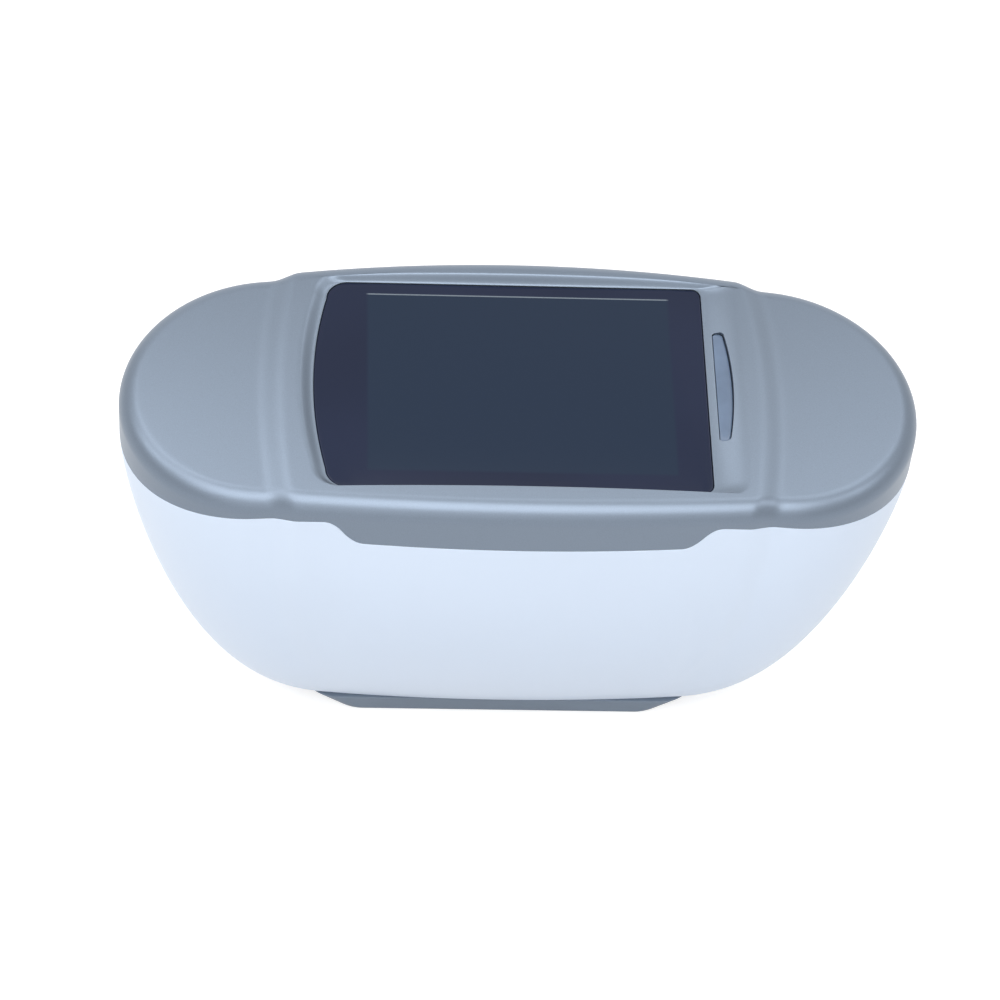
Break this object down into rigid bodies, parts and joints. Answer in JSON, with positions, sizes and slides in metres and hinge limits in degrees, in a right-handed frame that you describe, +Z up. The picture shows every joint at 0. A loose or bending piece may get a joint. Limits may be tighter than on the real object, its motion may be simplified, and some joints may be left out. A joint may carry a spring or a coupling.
{
  "type": "multi-angle spectrophotometer",
  "caption": "Hand-held colour-measuring instrument: oval white housing on a dark foot, silver cover with a display, and an angled optical bench inside.",
  "frame": {"origin": "centre of the measured spot, in the plane that the foot rests on", "axes": "+X along the housing towards the socket end, +Y towards the flank with the two keys, +Z up"},
  "size_m": [0.184, 0.077, 0.105],
  "materials": {
    "white_shell": "satin white moulded plastic",
    "silver_shell": "satin silver paint with fine flake",
    "foot_grey": "fine textured dark grey plastic",
    "dark_glass": "dark printed cover glass",
    "light_guide": "smoky blue translucent plastic",
    "clear_optic": "polished clear glass",
    "button_grey": "satin grey plastic",
    "seal_rubber": "soft black rubber",
    "steel": "plain bright steel",
    "black_metal": "black anodised aluminium",
    "board_green": "green solder mask",
    "chip_black": "black moulded resin",
    "lamp_white": "pale lamp lens",
    "battery_wrap": "blue shrink wrap",
    "tray_plastic": "black moulded plastic",
    "guide_sleeve": "black moulded sleeve",
    "brass": "turned brass"
  },
  "bodies": {
    "root": {"top_cover": "silver_shell", "lower_housing": "white_shell", "cover_gasket": "seal_rubber", "base_plate": "foot_grey", "aperture_ring": "black_metal", "aperture_window": "clear_optic", "pin_spring_rear_right": "steel", "pin_spring_front_right": "steel", "pin_spring_rear_left": "steel", "pin_spring_front_left": "steel", "screen_glass": "dark_glass", "screen_tape": "seal_rubber", "display_panel": "chip_black", "display_frame": "steel", "main_board": "board_green", "board_spacers": "brass", "board_chips": "chip_black", "light_bar": "light_guide", "indicator_board": "board_green", "indicator_lamps": "lamp_white", "measure_switch": "chip_black", "power_switch": "chip_black", "side_board": "board_green", "usb_socket": "steel", "port_board": "board_green", "optics_bench": "black_metal", "bench_cover_front": "black_metal", "bench_cover_rear": "black_metal", "receiver_minus_15": "black_metal", "receiver_15": "black_metal", "receiver_25": "black_metal", "receiver_45": "black_metal", "receiver_75": "black_metal", "receiver_110": "black_metal", "receiver_lenses": "clear_optic", "lamp_barrel": "black_metal", "lamp_lens": "clear_optic", "lamp_board": "board_green", "lamp_emitter": "lamp_white", "light_guide_harness": "guide_sleeve", "analyser_case": "black_metal", "analyser_lid": "black_metal", "grating": "clear_optic", "sensor_board": "board_green", "line_sensor": "chip_black", "battery_pack": "battery_wrap", "battery_tray": "tray_plastic", "foot_screws": "steel", "cover_screws": "steel", "board_screws": "steel", "inner_screws": "steel"},
    "measure_key": {"measure_button": "button_grey"},
    "power_key": {"power_button": "button_grey"},
    "pin_rear_right": {"contact_pin_rear_right": "brass"},
    "pin_front_right": {"contact_pin_front_right": "brass"},
    "pin_rear_left": {"contact_pin_rear_left": "brass"},
    "pin_front_left": {"contact_pin_front_left": "brass"}
  },
  "joints": [
    {"name": "measure_key_press", "type": "slide", "parent": "root", "child": "measure_key", "axis": [0, 1, 0], "range_m": [-0.0008, 0], "stiffness_N_per_m": 1500},
    {"name": "power_key_press", "type": "slide", "parent": "root", "child": "power_key", "axis": [0, 1, 0], "range_m": [-0.0008, 0], "stiffness_N_per_m": 1200},
    {"name": "pin_rear_right_slide", "type": "slide", "parent": "root", "child": "pin_rear_right", "axis": [0, 0, 1], "range_m": [-0.001, 0], "stiffness_N_per_m": 60, "springref_m": -0.0015, "deforming": ["pin_spring_rear_right"]},
    {"name": "pin_front_right_slide", "type": "slide", "parent": "root", "child": "pin_front_right", "axis": [0, 0, 1], "range_m": [-0.001, 0], "stiffness_N_per_m": 60, "springref_m": -0.0015, "deforming": ["pin_spring_front_right"]},
    {"name": "pin_rear_left_slide", "type": "slide", "parent": "root", "child": "pin_rear_left", "axis": [0, 0, 1], "range_m": [-0.001, 0], "stiffness_N_per_m": 60, "springref_m": -0.0015, "deforming": ["pin_spring_rear_left"]},
    {"name": "pin_front_left_slide", "type": "slide", "parent": "root", "child": "pin_front_left", "axis": [0, 0, 1], "range_m": [-0.001, 0], "stiffness_N_per_m": 60, "springref_m": -0.0015, "deforming": ["pin_spring_front_left"]}
  ]
}
